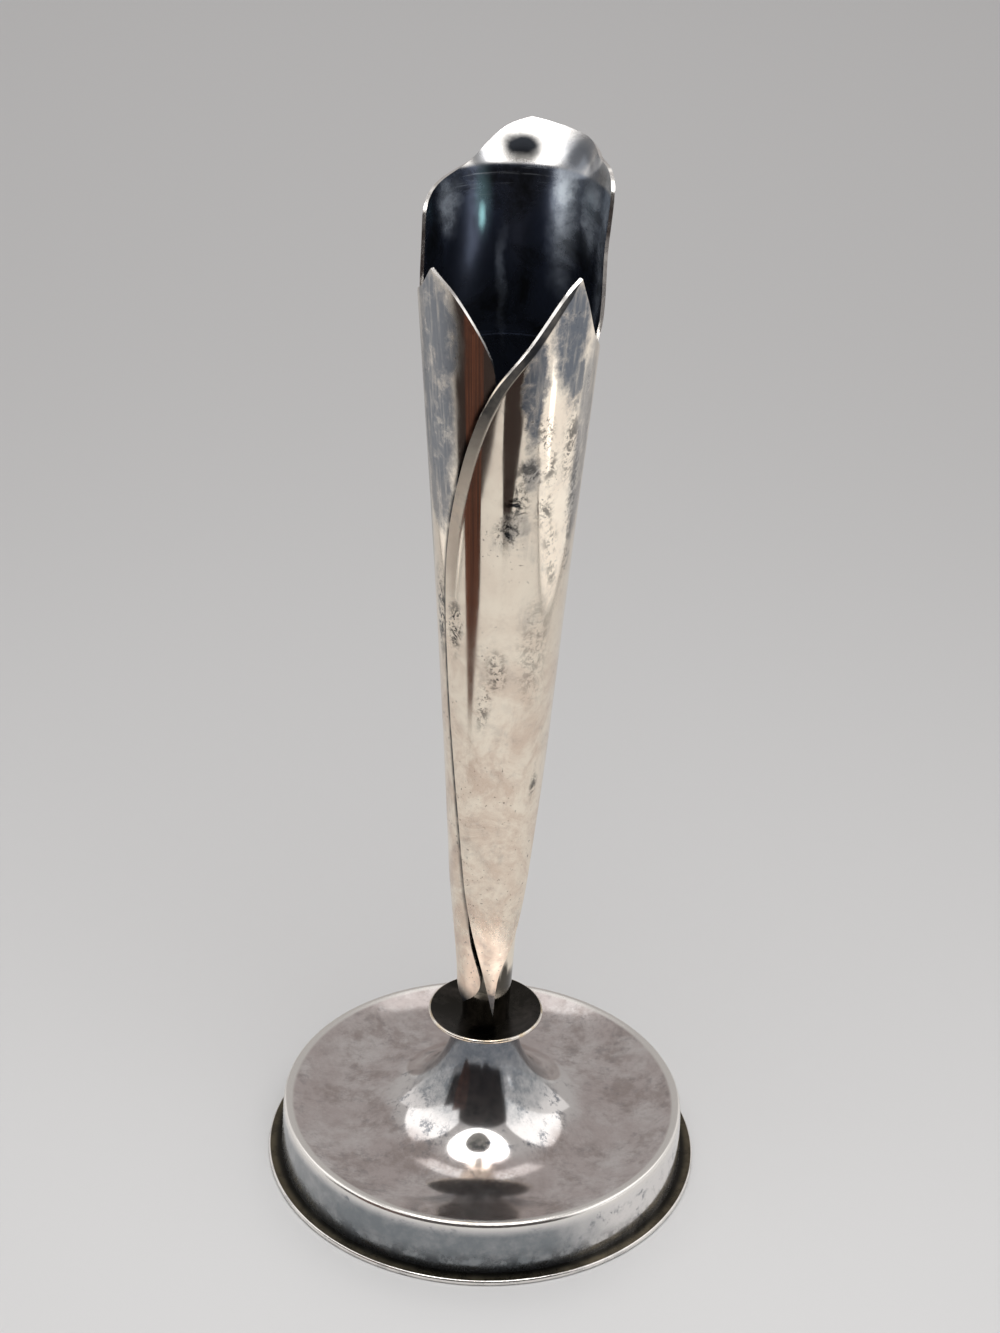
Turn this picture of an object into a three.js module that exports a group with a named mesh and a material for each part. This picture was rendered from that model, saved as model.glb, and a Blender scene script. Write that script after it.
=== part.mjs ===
// Bud vase in plated metal: three pointed petals lapped round a tapered water tube, standing in a
// shallow collar on a spun trumpet foot, and held down by a stud, washer and nut inside the foot.
// Millimetres, +Z up. The front of the vase faces -Y, and the origin is the middle of its underside.

import * as THREE from 'three';
import { mergeVertices } from 'three/addons/utils/BufferGeometryUtils.js';

// Foot: a ring on the table, and a spun shell of skirt, rounded shoulder, dished top and trumpet
const SKIRT_FOOT_RADIUS = 37.6;
const SKIRT_DRAFT = 0.4;
const RING_OVERHANG = 2.4;
const RING_LEDGE = 1.4;
const RING_THICKNESS = 1;
const FOOT_SHEET = 0.8;
const SHOULDER_HEIGHT = 11.5;
const SHOULDER_ROUND = 0.9;
const SHARPEST_ROUND = 0.1;
const DISH_DEPTH = 2.5;
const TRUMPET_ROOT_RADIUS = 25.5;
const NECK_RADIUS = 5.8;
const NECK_HEIGHT = 29.7;

// Collar: a flat floor on the neck, and a rim that rises gently round it
const COLLAR_SHEET = 0.8;
const COLLAR_SEAT_MARGIN = 0.5;
const COLLAR_OVERHANG = 4.7;
const COLLAR_RISE = 1.4;

// Water tube and the plug that closes its lower end
const TUBE_LENGTH = 130.5;
const TUBE_FOOT_RADIUS = 4.3;
const TUBE_MOUTH_RADIUS = 12.5;
const TUBE_FLARE = 1.25;
const TUBE_WALL = 0.6;
const PLUG_HEIGHT = 6;
const PLUG_ROOF = 1.5;

// Fixing inside the foot
const STUD_RADIUS = 2;
const STUD_TAIL = 1.5;
const WASHER_RADIUS = 9.5;
const WASHER_THICKNESS = 1.2;
const NUT_SIDES = 6;
const NUT_FLATS = 7;
const NUT_HEIGHT = 3.2;

// Petals: sheet, solder seam, and the height over which a lapped petal rises onto the one below it
const PETAL_SHEET = 0.6;
const SEAM_GAP = 0.3;
const LAP_START = 8;
const LAP_RISE = 26;

// The front petal laps the left petal on one side and the back petal on the other. Between these
// two angles it steps down from the second lap to the first.
const STEP_DOWN_FROM = -5;
const STEP_DOWN_TO = 70;

// Tip of the back petal, folded back along a level line. The whole fold leans back within an angle of
// its middle and dies out on each side, and it leans further at the tip than at the bend.
const FOLD_HEIGHT = 158.8;
const FOLD_ANGLE = 172;
const FOLD_FLAT = 24;
const FOLD_FADE = 32;
const FOLD_ROUND = 0.8;
const FOLD_SLOPE = 0.7;
const TIP_SLOPE = 1.46;

// The back petal's free sides stand out a little just above its neighbours' upper edges
const SIDE_REACH = 0.8;
const SIDE_START = 131;
const SIDE_RISE = 8;
const SIDE_FALL = 14;

// Turned-out lip along the front petal's low edge, from part way up to its tip
const LIP_WIDTH = 1.5;
const LIP_SHARE = 0.3;
const LIP_SLOPE = 0.36;
const LIP_START = 68;
const LIP_RISE = 42;

// Petal outlines, from the lower tip to the upper tip. Each station has the angle from the front,
// in degrees, and the height above the collar's floor, on the petal's one edge and on its other.
const FRONT_PETAL = [
  { low: [13, 3], high: [13, 3] },
  { low: [-8, 12.2], high: [20, 12] },
  { low: [-28, 24], high: [46, 22] },
  { low: [-41, 44], high: [67, 44] },
  { low: [-51, 72], high: [92, 72] },
  { low: [-47.5, 97.5], high: [110, 98] },
  { low: [-31, 118], high: [109, 120] },
  { low: [-13, 131], high: [92, 132] },
  { low: [9, 140.2], high: [64, 138.5] },
  { low: [28, 148.2], high: [48, 146.3] },
  { low: [40.5, 150.6], high: [40.5, 150.6] },
];
const LEFT_PETAL = [
  { low: [-52, 5], high: [-52, 5] },
  { low: [-98, 10], high: [-14, 10] },
  { low: [-121, 22], high: [-33, 21] },
  { low: [-143, 42], high: [-33, 42] },
  { low: [-153, 70], high: [-31, 70] },
  { low: [-151, 95], high: [-22, 98] },
  { low: [-126, 106], high: [-13, 120] },
  { low: [-99, 127], high: [-9.8, 132.5] },
  { low: [-90, 141.5], high: [-17, 139.4] },
  { low: [-69, 146.3], high: [-37, 147] },
  { low: [-56.5, 150.3], high: [-56.5, 150.3] },
];
const BACK_PETAL = [
  { low: [178, 3], high: [178, 3] },
  { low: [140, 18], high: [216, 18] },
  { low: [108, 42], high: [246, 42] },
  { low: [90, 72], high: [264, 72] },
  { low: [87, 105], high: [267, 105] },
  { low: [87, 140], high: [265, 138] },
  { low: [90, 156.8], high: [258.5, 151.3] },
  { low: [105, 162.2], high: [244, 156.7] },
  { low: [137, 163.4], high: [206, 160] },
  { low: [161, 164.4], high: [184, 163.65] },
  { low: [172.5, 164.85], high: [172.5, 164.85] },
];

// Facets
const FOOT_SEGMENTS = 48;
const STEM_SEGMENTS = 40;
const SMALL_SEGMENTS = 24;
const ARC_STEPS = 10;
const ROUND_STEPS = 3;
const DISH_STEPS = 4;
const TUBE_STEPS = 8;
const PETAL_COLUMNS = 16;
const PETAL_ROWS = 32;

// Sizes and heights that follow from those above
const SHOULDER_RADIUS = SKIRT_FOOT_RADIUS - SKIRT_DRAFT;
const TRUMPET_ROOT_HEIGHT = SHOULDER_HEIGHT - DISH_DEPTH;
const TRUMPET_WIDTH = TRUMPET_ROOT_RADIUS - NECK_RADIUS;
const TRUMPET_RISE = NECK_HEIGHT - TRUMPET_ROOT_HEIGHT;
const COLLAR_FLOOR = NECK_HEIGHT + COLLAR_SHEET;
const COLLAR_FLAT_RADIUS = NECK_RADIUS + COLLAR_SEAT_MARGIN;
const COLLAR_RADIUS = NECK_RADIUS + COLLAR_OVERHANG;
const STUD_HOLE = STUD_RADIUS + SEAM_GAP;
const PETAL_PITCH = PETAL_SHEET + SEAM_GAP;
const BACK_TIP = BACK_PETAL.at(-1).low[1];

const silver = { metalness: 1, roughness: 0.18 };
const brass = { metalness: 1, roughness: 0.35, color: 0xb08d4a };
const steel = { metalness: 1, roughness: 0.4, color: 0x8b8d90 };

const point = (r, z) => new THREE.Vector2(r, z);

function smoothStep(x) {
  return THREE.MathUtils.smoothstep(x, 0, 1);
}

// A turned solid: the profile runs anticlockwise in radius and height, closed or axis to axis
function turned(profile, segments) {
  return new THREE.LatheGeometry(profile, segments).rotateX(Math.PI / 2);
}

function closedProfile(points) {
  return [...points, points[0].clone()];
}

function named(name, geometry, finish) {
  const mesh = new THREE.Mesh(geometry, new THREE.MeshStandardMaterial(finish));
  mesh.name = name;
  return mesh;
}

// One side of the foot's sheet, from the skirt's lower edge to the neck, set in from the outside
function footSide(inset) {
  const side = [point(SKIRT_FOOT_RADIUS - inset, RING_THICKNESS)];
  const roundCentre = point(SHOULDER_RADIUS - SHOULDER_ROUND, SHOULDER_HEIGHT - SHOULDER_ROUND);
  const round = Math.max(SHOULDER_ROUND - inset, SHARPEST_ROUND);
  for (let i = 0; i <= ROUND_STEPS; i++) {
    const turn = (i / ROUND_STEPS) * (Math.PI / 2);
    side.push(point(roundCentre.x + round * Math.cos(turn), roundCentre.y + round * Math.sin(turn)));
  }
  const dishTop = SHOULDER_HEIGHT - SHOULDER_ROUND + round;
  const dishFall = dishTop - (TRUMPET_ROOT_HEIGHT - inset);
  for (let i = 1; i < DISH_STEPS; i++) {
    const share = i / DISH_STEPS;
    const r = THREE.MathUtils.lerp(roundCentre.x, TRUMPET_ROOT_RADIUS, share);
    side.push(point(r, dishTop - dishFall * Math.sin((share * Math.PI) / 2)));
  }
  for (let i = 0; i <= ARC_STEPS; i++) {
    side.push(trumpetPoint((i / ARC_STEPS) * (Math.PI / 2), inset));
  }
  return side;
}

// The trumpet's wall is a quarter ellipse from the dished top up to the neck
function trumpetPoint(turn, inset) {
  const r = TRUMPET_ROOT_RADIUS - (TRUMPET_WIDTH + inset) * Math.sin(turn);
  const fall = turn < Math.PI / 2 ? (TRUMPET_RISE + inset) * Math.cos(turn) : 0;
  return point(r, NECK_HEIGHT - fall);
}

function footShell() {
  const outside = footSide(0);
  const inside = footSide(FOOT_SHEET).reverse();
  return turned(closedProfile([...outside, ...inside]), FOOT_SEGMENTS);
}

function footRing() {
  const inner = SKIRT_FOOT_RADIUS - FOOT_SHEET - RING_LEDGE;
  const outer = SKIRT_FOOT_RADIUS + RING_OVERHANG;
  return turned(closedProfile([
    point(inner, 0), point(outer, 0), point(outer, RING_THICKNESS), point(inner, RING_THICKNESS),
  ]), FOOT_SEGMENTS);
}

function collar() {
  const rim = COLLAR_FLOOR + COLLAR_RISE;
  const rimRound = COLLAR_SHEET / 4;
  return turned(closedProfile([
    point(STUD_HOLE, NECK_HEIGHT),
    point(COLLAR_FLAT_RADIUS, NECK_HEIGHT),
    point(COLLAR_RADIUS - rimRound, rim - COLLAR_SHEET),
    point(COLLAR_RADIUS, rim - COLLAR_SHEET / 2),
    point(COLLAR_RADIUS - rimRound, rim),
    point(COLLAR_FLAT_RADIUS, COLLAR_FLOOR),
    point(STUD_HOLE, COLLAR_FLOOR),
  ]), STEM_SEGMENTS);
}

// Outer radius of the tube at a height above the collar's floor, carried on above its mouth
function tubeRadius(height) {
  const share = Math.max(height, 0) / TUBE_LENGTH;
  return TUBE_FOOT_RADIUS + (TUBE_MOUTH_RADIUS - TUBE_FOOT_RADIUS) * share ** TUBE_FLARE;
}

function waterTube() {
  const outside = [];
  for (let i = 0; i <= TUBE_STEPS; i++) {
    const height = (TUBE_LENGTH * i) / TUBE_STEPS;
    outside.push(point(tubeRadius(height), COLLAR_FLOOR + height));
  }
  const inside = outside.map((p) => point(p.x - TUBE_WALL, p.y)).reverse();
  return turned(closedProfile([...outside, ...inside]), STEM_SEGMENTS);
}

function tubePlug() {
  const radius = TUBE_FOOT_RADIUS - TUBE_WALL - SEAM_GAP;
  const top = COLLAR_FLOOR + PLUG_HEIGHT;
  return turned([
    point(0, top - PLUG_ROOF),
    point(STUD_HOLE, top - PLUG_ROOF),
    point(STUD_HOLE, COLLAR_FLOOR),
    point(radius, COLLAR_FLOOR),
    point(radius, top),
    point(0, top),
  ], SMALL_SEGMENTS);
}

// The washer's upper edge meets the trumpet's inside wall at this height
function washerTop() {
  const reach = (TRUMPET_ROOT_RADIUS - WASHER_RADIUS - SEAM_GAP) / (TRUMPET_WIDTH + FOOT_SHEET);
  return trumpetPoint(Math.asin(reach), FOOT_SHEET).y;
}

function clampWasher() {
  const top = washerTop();
  const under = top - WASHER_THICKNESS;
  return turned(closedProfile([
    point(STUD_HOLE, under), point(WASHER_RADIUS, under), point(WASHER_RADIUS, top), point(STUD_HOLE, top),
  ]), STEM_SEGMENTS);
}

function fixingNut() {
  const corner = NUT_FLATS / 2 / Math.cos(Math.PI / NUT_SIDES);
  const corners = Array.from({ length: NUT_SIDES }, (_, i) => {
    const turn = (i * 2 * Math.PI) / NUT_SIDES;
    return new THREE.Vector2(corner * Math.cos(turn), corner * Math.sin(turn));
  });
  const outline = new THREE.Shape(corners);
  outline.holes.push(new THREE.Path().absarc(0, 0, STUD_HOLE, 0, 2 * Math.PI, true));
  const nut = new THREE.ExtrudeGeometry(outline, {
    depth: NUT_HEIGHT, bevelEnabled: false, curveSegments: SMALL_SEGMENTS / 2,
  });
  return nut.translate(0, 0, washerTop() - WASHER_THICKNESS - NUT_HEIGHT);
}

function fixingStud() {
  const top = COLLAR_FLOOR + PLUG_HEIGHT - PLUG_ROOF - SEAM_GAP;
  const tail = washerTop() - WASHER_THICKNESS - NUT_HEIGHT - STUD_TAIL;
  return turned([point(0, tail), point(STUD_RADIUS, tail), point(STUD_RADIUS, top), point(0, top)],
    SMALL_SEGMENTS);
}

// How many petals a petal lies over at an angle
const overNone = () => 0;
const overOne = () => 1;

function overFront(angle) {
  return 1 + smoothStep((STEP_DOWN_TO - angle) / (STEP_DOWN_TO - STEP_DOWN_FROM));
}

// Inner radius of a petal: the tube, a seam, and the petals below, which start as slim tips
function lappedRadius(angle, height, laps) {
  const rise = smoothStep((height - LAP_START) / LAP_RISE);
  return tubeRadius(height) + SEAM_GAP + PETAL_PITCH * laps(angle) * rise;
}

// What a petal's shape adds to its radius at a place: nothing, a folded tip or a turned-out lip
const plain = () => 0;

function tipFold(at) {
  const over = at.y - FOLD_HEIGHT;
  const past = (Math.hypot(over, FOLD_ROUND) + over) / 2;
  const bow = (TIP_SLOPE - FOLD_SLOPE) / (2 * (BACK_TIP - FOLD_HEIGHT));
  const fade = 1 - smoothStep((Math.abs(at.x - FOLD_ANGLE) - FOLD_FLAT) / FOLD_FADE);
  const fold = (FOLD_SLOPE * past + bow * past * past) * fade;
  const up = smoothStep((at.y - SIDE_START) / SIDE_RISE);
  const down = smoothStep((at.y - SIDE_START - SIDE_RISE) / SIDE_FALL);
  const sideways = Math.sin(THREE.MathUtils.degToRad(at.x)) ** 2;
  return fold + SIDE_REACH * sideways * (up - down);
}

// The lip narrows with the petal towards its tip
function edgeLip(at, span, share) {
  const width = Math.min(LIP_WIDTH, LIP_SHARE * span);
  const rise = smoothStep((at.y - LIP_START) / LIP_RISE);
  return LIP_SLOPE * rise * Math.max(width - span * share, 0);
}

function onStem(r, at) {
  const turn = THREE.MathUtils.degToRad(at.x);
  return [r * Math.sin(turn), -r * Math.cos(turn), COLLAR_FLOOR + at.y];
}

// Length of a row across a petal, from its low edge to its high edge
function rowSpan(low, high) {
  return Math.hypot(tubeRadius(low.y) * THREE.MathUtils.degToRad(high.x - low.x), high.y - low.y);
}

// A sheet between two curved edges: a grid on its inside, a grid on its outside, and a cut edge
function petal(outline, laps, shape) {
  const edges = ['low', 'high'].map((key) => (
    new THREE.SplineCurve(outline.map((station) => new THREE.Vector2(...station[key])))
  ));
  const positions = [];
  for (const depth of [0, PETAL_SHEET]) {
    for (let row = 0; row <= PETAL_ROWS; row++) {
      const [low, high] = edges.map((edge) => edge.getPoint(row / PETAL_ROWS));
      const span = rowSpan(low, high);
      for (let column = 0; column <= PETAL_COLUMNS; column++) {
        const share = column / PETAL_COLUMNS;
        const at = low.clone().lerp(high, share);
        const r = lappedRadius(at.x, at.y, laps) + shape(at, span, share) + depth;
        positions.push(...onStem(r, at));
      }
    }
  }

  const width = PETAL_COLUMNS + 1;
  const layer = width * (PETAL_ROWS + 1);
  const index = [];
  const quad = (a, b, c, d) => index.push(a, b, c, a, c, d);
  for (let row = 0; row < PETAL_ROWS; row++) {
    for (let column = 0; column < PETAL_COLUMNS; column++) {
      const a = row * width + column;
      quad(a, a + width, a + width + 1, a + 1);
      quad(layer + a, layer + a + 1, layer + a + width + 1, layer + a + width);
    }
    const low = row * width;
    const high = low + PETAL_COLUMNS;
    quad(low, low + layer, low + layer + width, low + width);
    quad(high, high + width, high + layer + width, high + layer);
  }

  const geometry = new THREE.BufferGeometry();
  geometry.setAttribute('position', new THREE.Float32BufferAttribute(positions, 3));
  geometry.setIndex(index);
  return withoutSlivers(mergeVertices(geometry));
}

// At the petal's tips a whole row is one point, so the triangles that lost a side there are dropped
function withoutSlivers(geometry) {
  const corners = geometry.getIndex().array;
  const kept = [];
  for (let i = 0; i < corners.length; i += 3) {
    const [a, b, c] = corners.slice(i, i + 3);
    if (a !== b && b !== c && c !== a) {
      kept.push(a, b, c);
    }
  }
  geometry.setIndex(kept);
  return geometry;
}

const vase = new THREE.Group();
vase.add(
  named('foot_ring', footRing(), { ...silver, color: 0x6a665c, roughness: 0.4 }),
  named('foot_shell', footShell(), { ...silver, color: 0xa59c99 }),
  named('collar', collar(), { ...silver, color: 0x4a4a45, roughness: 0.35 }),
  named('water_tube', waterTube(), { ...silver, color: 0x8d857c }),
  named('tube_plug', tubePlug(), brass),
  named('fixing_stud', fixingStud(), steel),
  named('clamp_washer', clampWasher(), brass),
  named('fixing_nut', fixingNut(), brass),
  named('back_petal', petal(BACK_PETAL, overNone, tipFold), { ...silver, color: 0x9a9ca0 }),
  named('left_petal', petal(LEFT_PETAL, overOne, plain), { ...silver, color: 0xb5aca4 }),
  named('front_petal', petal(FRONT_PETAL, overFront, edgeLip), { ...silver, color: 0xcdbfb0 }),
);

export default vase;
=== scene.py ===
"""Looks of a silver-plated bud vase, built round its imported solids.

Three lapped petals, a water tube, a collar and a trumpet foot, with the fixing inside the foot.
Metres, +Z up. The front of the vase faces -Y.
"""

import math

import bmesh
import bpy
from bpy.props import FloatProperty, FloatVectorProperty, PointerProperty
from bpy.types import NodeSocket, Operator, Panel, PropertyGroup
from mathutils import Matrix, Vector
from mathutils.kdtree import KDTree


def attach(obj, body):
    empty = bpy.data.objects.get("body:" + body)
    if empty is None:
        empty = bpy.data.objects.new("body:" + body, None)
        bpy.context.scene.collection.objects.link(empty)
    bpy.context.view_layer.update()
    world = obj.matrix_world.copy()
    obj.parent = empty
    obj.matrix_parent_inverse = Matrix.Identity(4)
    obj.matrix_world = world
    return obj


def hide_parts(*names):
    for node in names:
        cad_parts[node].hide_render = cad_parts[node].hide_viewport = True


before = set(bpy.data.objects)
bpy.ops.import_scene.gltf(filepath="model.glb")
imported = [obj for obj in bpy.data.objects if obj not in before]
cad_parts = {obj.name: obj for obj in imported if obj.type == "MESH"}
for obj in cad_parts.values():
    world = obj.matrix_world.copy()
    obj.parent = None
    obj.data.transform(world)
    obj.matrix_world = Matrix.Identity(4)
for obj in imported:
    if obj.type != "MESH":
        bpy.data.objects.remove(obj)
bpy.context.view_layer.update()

bl_info = {
    "name": "Bud vase",
    "version": (1, 0, 0),
    "blender": (4, 5, 0),
    "location": "3D View > Sidebar > Bud vase",
    "description": "Petals, tube, collar and foot of a silver-plated bud vase",
    "category": "Object",
}

MM = 0.001

# Points closer than this are one point
TOUCHING = 1e-6

# Depth of the faint ripple in polished sheet
RIPPLE = 0.03 * MM

# Side of the vase from which the angles of marks are counted
FROM_FRONT = 1
FROM_BACK = -1

# Petal outlines, from the lower tip to the upper tip: the angle from the front in degrees and the
# height above the collar's floor in millimetres, on the low edge and on the high edge
FRONT_PETAL = (
    ((13, 3), (13, 3)),
    ((-8, 12.2), (20, 12)),
    ((-28, 24), (46, 22)),
    ((-41, 44), (67, 44)),
    ((-51, 72), (92, 72)),
    ((-47.5, 97.5), (110, 98)),
    ((-31, 118), (109, 120)),
    ((-13, 131), (92, 132)),
    ((9, 140.2), (64, 138.5)),
    ((28, 148.2), (48, 146.3)),
    ((40.5, 150.6), (40.5, 150.6)),
)
LEFT_PETAL = (
    ((-52, 5), (-52, 5)),
    ((-98, 10), (-14, 10)),
    ((-121, 22), (-33, 21)),
    ((-143, 42), (-33, 42)),
    ((-153, 70), (-31, 70)),
    ((-151, 95), (-22, 98)),
    ((-126, 106), (-13, 120)),
    ((-99, 127), (-9.8, 132.5)),
    ((-90, 141.5), (-17, 139.4)),
    ((-69, 146.3), (-37, 147)),
    ((-56.5, 150.3), (-56.5, 150.3)),
)
BACK_PETAL = (
    ((178, 3), (178, 3)),
    ((140, 18), (216, 18)),
    ((108, 42), (246, 42)),
    ((90, 72), (264, 72)),
    ((87, 105), (267, 105)),
    ((87, 140), (265, 138)),
    ((90, 156.8), (258.5, 151.3)),
    ((105, 162.2), (244, 156.7)),
    ((137, 163.4), (206, 160)),
    ((161, 164.4), (184, 163.65)),
    ((172.5, 164.85), (172.5, 164.85)),
)

# Marks on the plate: angle and height of a patch's middle, half its width in degrees and half its
# height in millimetres, and how strong it is
# Tarnish patches; two of them are painted shade, marked below
TARNISH_AND_SHADE = (
    (38, 141, 15, 9, 1),
    (47, 132.5, 9, 4.5, 0.95),
    # Painted shade: a dark reflection left of the strip lamp's highlight
    (15, 132, 7, 10, 1),
    (16, 117, 6, 3.5, 0.6),
    (9, 107, 12, 2.6, 0.35),
    (64, 119, 13, 18, 0.7),
    (-56, 139, 24, 11, 0.95),
    (-62, 125, 25, 15, 0.95),
    (-60, 111, 15, 8, 0.85),
    (-84, 120, 10, 24, 0.7),
    # Painted shade: the front petal's lower tip, darkened where it mirrors the collar
    (13, 4, 30, 5, 0.8),
)
SPECKS = (
    (25, 124.5, 7, 3, 0.8),
    (31, 118, 6, 4, 0.7),
    (28, 110, 8, 3, 0.75),
    (36, 103, 7, 4, 0.6),
    (42, 97.5, 6, 3, 0.6),
    (48, 121, 8, 7, 0.8),
    (57, 111, 7, 9, 0.7),
    (60, 101, 6, 8, 0.6),
    (14, 117, 10, 3, 0.8),
    (6, 112, 9, 4, 1),
    (2, 106, 10, 3, 1),
    (-41, 86, 6, 5, 1),
    (-66, 86, 9, 8, 1),
    (-4, 79, 9, 4, 0.8),
    (-15, 72, 6, 5, 0.7),
    (30, 82, 16, 10, 0.4),
    (47, 53, 6, 3, 0.8),
)
# Painted shade on the left petal's lower end, where it mirrors the dark collar
PAINTED_LOW_SHADE = (
    (-52, 4, 42, 3, 1),
)
# Painted shade on the tube beside the petals' lower tips
PAINTED_TUBE_SHADE = (
    (-20, 12, 12, 12, 1),
    (40, 9, 12, 5, 1),
)

# Marks inside the mouth, with their angles counted from the back
# Paler patches painted in as light mirrored inside the mouth
PAINTED_SHEEN = (
    (-34, 156.5, 10, 4, 1),
    (-36, 151, 12, 10, 0.7),
    (-60, 155, 14, 8, 0.8),
    (-78, 150, 10, 14, 0.7),
    (47, 154.5, 10, 5, 0.85),
    (6, 140, 3.5, 9, 0.3),
)
# Cyan glints painted in as reflected light
PAINTED_GLINTS = (
    (20, 150.8, 3, 2.8, 1),
    (19, 153, 6, 6, 0.22),
)
# Painted shade on the sides of the folded tip
FOLD_SHADE = (
    (-38, 161, 14, 4, 0.95),
    (-55, 160, 12, 4, 0.8),
    (20, 160, 7, 1.6, 0.7),
)
FOLD_SPOTS = (
    (-4, 161.5, 16, 2.2, 1),
)


def length(name, description, millimetres):
    return FloatProperty(name=name, description=description, default=millimetres * MM,
                         unit="LENGTH", precision=5)


def turn(name, description, degrees):
    return FloatProperty(name=name, description=description, default=math.radians(degrees),
                         subtype="ANGLE")


def plain(name, description, default):
    return FloatProperty(name=name, description=description, default=default)


def tint(name, description, default):
    return FloatVectorProperty(name=name, description=description, default=default,
                               subtype="COLOR", size=3, min=0, max=1)


class FootSizes(PropertyGroup):
    """Sizes of the foot and the collar on it"""

    skirt_radius: length("Skirt radius", "Outside radius of the skirt where it meets the ring", 37.6)
    skirt_draft: length("Skirt draft", "How far the skirt leans in on its way up", 0.4)
    ring_overhang: length("Ring overhang", "How far the ring stands out past the skirt", 2.4)
    ring_ledge: length("Ring ledge", "How far the ring reaches in past the skirt", 1.4)
    ring_thickness: length("Ring thickness", "Height of the ring", 1)
    ring_round: length("Ring round", "Rounding of the ring's outer edge", 0.4)
    sheet: length("Foot sheet", "Thickness of the spun sheet", 0.8)
    shoulder_height: length("Shoulder height", "Top of the rounded shoulder", 11.5)
    shoulder_round: length("Shoulder round", "Outside radius of the shoulder's bend", 0.9)
    dish_depth: length("Dish depth", "Fall from the shoulder to the trumpet's root", 2.5)
    trumpet_root: length("Trumpet root", "Radius at which the trumpet starts to rise", 25.5)
    neck_radius: length("Neck radius", "Outside radius of the neck under the collar", 5.8)
    neck_height: length("Neck height", "Top of the neck", 29.7)
    stud_hole: length("Stud hole", "Radius of the hole in the collar's floor", 2.3)
    collar_sheet: length("Collar sheet", "Thickness of the collar", 0.8)
    collar_margin: length("Collar seat margin", "Flat of the collar past the neck", 0.5)
    collar_overhang: length("Collar overhang", "How far the rim stands out past the neck", 4.7)
    collar_rise: length("Collar rise", "Height of the rim over the collar's floor", 1.4)


class StemSizes(PropertyGroup):
    """Sizes of the water tube and the petals round it"""

    tube_length: length("Tube length", "Length of the water tube", 130.5)
    tube_foot: length("Tube foot", "Outside radius at the lower end", 4.3)
    tube_mouth: length("Tube mouth", "Outside radius at the mouth", 12.5)
    tube_flare: plain("Tube flare", "Power of the tube's taper: 1 is a straight cone", 1.25)
    tube_wall: length("Tube wall", "Thickness of the tube", 0.6)
    petal_sheet: length("Petal sheet", "Thickness of a petal", 0.6)
    edge_round: length("Edge round", "Rounding of a petal's cut edges", 0.12)
    seam: length("Seam", "Gap between sheets that lie on each other", 0.3)
    lap_shade_reach: length("Grime reach", "How far the dark grime spreads from a lap at the front", 0.7)
    # Reach of the painted shade along the laps
    lap_start: length("Lap start", "Height at which a petal starts to rise onto the next", 8)
    lap_rise: length("Lap rise", "Height over which it rises", 26)
    step_from: turn("Step from", "Angle at which the front petal starts to step down", -5)
    step_to: turn("Step to", "Angle at which it lies one lap high", 70)
    fold_height: length("Fold height", "Height of the line along which the back tip folds back", 158.8)
    fold_angle: turn("Fold angle", "Middle of the folded tip", 172)
    fold_flat: turn("Fold flat", "Half the angle over which the whole tip folds", 24)
    fold_fade: turn("Fold fade", "Angle over which the fold dies out on each side", 32)
    fold_round: length("Fold round", "Softness of the bend", 0.8)
    fold_slope: plain("Fold slope", "How steeply the tip leans back at the bend", 0.7)
    tip_slope: plain("Tip slope", "How steeply it leans back at the tip", 1.46)
    side_reach: length("Side reach", "How far the back petal's free sides stand out", 0.8)
    side_start: length("Side start", "Height at which they leave the stem", 131)
    side_rise: length("Side rise", "Height over which they stand out", 8)
    side_fall: length("Side fall", "Height over which they come back", 14)
    lip_width: length("Lip width", "Width of the front petal's turned-out lip", 1.5)
    lip_share: plain("Lip share", "The most of the petal's width that the lip takes", 0.3)
    lip_slope: plain("Lip slope", "How steeply the lip turns out", 0.36)
    lip_start: length("Lip start", "Height at which the lip starts", 68)
    lip_rise: length("Lip rise", "Height over which it turns out fully", 42)
    # Painted shade towards the top of the lip
    lip_painted_shade: length("Lip darkening start", "Height at which the lip starts to darken", 107)
    lip_shade_reach: length("Lip darkening reach", "Height over which it darkens", 24)


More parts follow.
